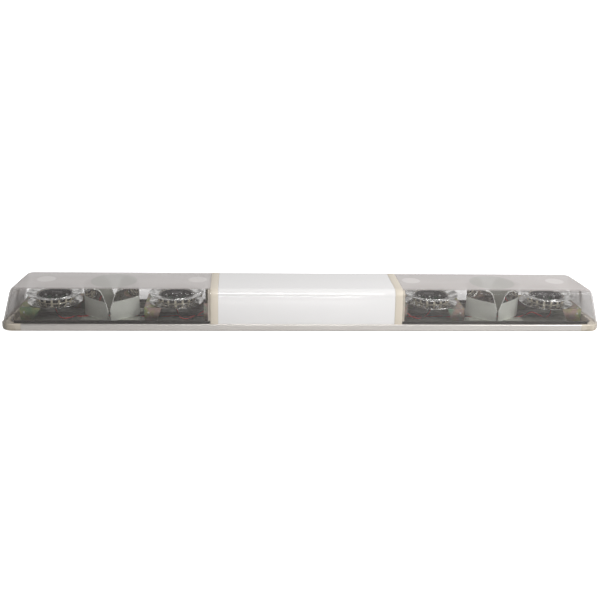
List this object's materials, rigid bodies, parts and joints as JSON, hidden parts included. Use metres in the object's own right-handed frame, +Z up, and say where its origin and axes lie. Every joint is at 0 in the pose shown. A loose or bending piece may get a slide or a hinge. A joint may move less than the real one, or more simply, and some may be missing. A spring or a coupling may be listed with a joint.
{
  "type": "led light bar",
  "caption": "Long slim roof light bar: clear domes over spool-shaped LED beacons and deflector mirrors, an opal centre section, cream bands and end caps, on an aluminium base.",
  "frame": {"origin": "middle of the underside, on the plane that the mounting rails rest on", "axes": "+X along the bar to its right end seen from the front, -Y the front, +Z up"},
  "size_m": [1.494, 0.186, 0.1054],
  "materials": {
    "anodised_aluminium": "extruded, clear anodised, fine lengthwise die lines",
    "cream_moulding": "cream moulded plastic, fine texture",
    "clear_lens": "clear polycarbonate, faintly smoked",
    "opal_lens": "opal white acrylic, glossy",
    "black_rubber": "extruded seal, matt",
    "bright_reflector": "bright metallised dish",
    "polished_sheet": "polished sheet reflector",
    "yellow_zinc": "zinc plated, iridescent yellow passivation",
    "cell_frame": "ivory moulded louvre",
    "led_drum": "dark board ring",
    "circuit_board": "green board with parts",
    "white_board": "white solder mask board",
    "tray_paint": "white powder coat",
    "black_plastic": "moulded case",
    "lead_sleeve": "red and black insulated wires",
    "screw_steel": "stainless pan head"
  },
  "bodies": {
    "base": {"base_extrusion": "anodised_aluminium", "front_gasket": "black_rubber", "rear_gasket": "black_rubber", "supply_grommet": "black_rubber", "led_tray": "tray_paint", "sign_led_board_front": "white_board", "sign_led_board_rear": "white_board", "control_box": "black_plastic", "end_cap_left": "cream_moulding", "joiner_band_left": "cream_moulding", "bulkhead_left": "yellow_zinc", "cap_screw_left_front": "screw_steel", "cap_screw_left_rear": "screw_steel", "mirror_left_outer": "polished_sheet", "mirror_left_inner": "polished_sheet", "end_cap_right": "cream_moulding", "joiner_band_right": "cream_moulding", "bulkhead_right": "yellow_zinc", "cap_screw_right_front": "screw_steel", "cap_screw_right_rear": "screw_steel", "mirror_right_outer": "polished_sheet", "mirror_right_inner": "polished_sheet", "module_1_bracket": "yellow_zinc", "module_1_lower_reflector": "bright_reflector", "module_1_upper_reflector": "bright_reflector", "module_1_driver_board": "circuit_board", "module_1_led_drum": "led_drum", "module_1_cell_ring": "cell_frame", "module_1_lead": "lead_sleeve", "module_2_bracket": "yellow_zinc", "module_2_lower_reflector": "bright_reflector", "module_2_upper_reflector": "bright_reflector", "module_2_driver_board": "circuit_board", "module_2_led_drum": "led_drum", "module_2_cell_ring": "cell_frame", "module_2_lead": "lead_sleeve", "module_3_bracket": "yellow_zinc", "module_3_lower_reflector": "bright_reflector", "module_3_upper_reflector": "bright_reflector", "module_3_driver_board": "circuit_board", "module_3_led_drum": "led_drum", "module_3_cell_ring": "cell_frame", "module_3_lead": "lead_sleeve", "module_4_bracket": "yellow_zinc", "module_4_lower_reflector": "bright_reflector", "module_4_upper_reflector": "bright_reflector", "module_4_driver_board": "circuit_board", "module_4_led_drum": "led_drum", "module_4_cell_ring": "cell_frame", "module_4_lead": "lead_sleeve"},
    "left_dome": {"dome_left": "clear_lens"},
    "right_dome": {"dome_right": "clear_lens"},
    "centre_cover": {"centre_lens": "opal_lens"}
  },
  "joints": [
    {"name": "left_dome_lift", "type": "slide", "parent": "base", "child": "left_dome", "axis": [0, 0, 1], "range_m": [0, 0.12]},
    {"name": "right_dome_lift", "type": "slide", "parent": "base", "child": "right_dome", "axis": [0, 0, 1], "range_m": [0, 0.12]},
    {"name": "centre_cover_lift", "type": "slide", "parent": "base", "child": "centre_cover", "axis": [0, 0, 1], "range_m": [0, 0.12]}
  ]
}
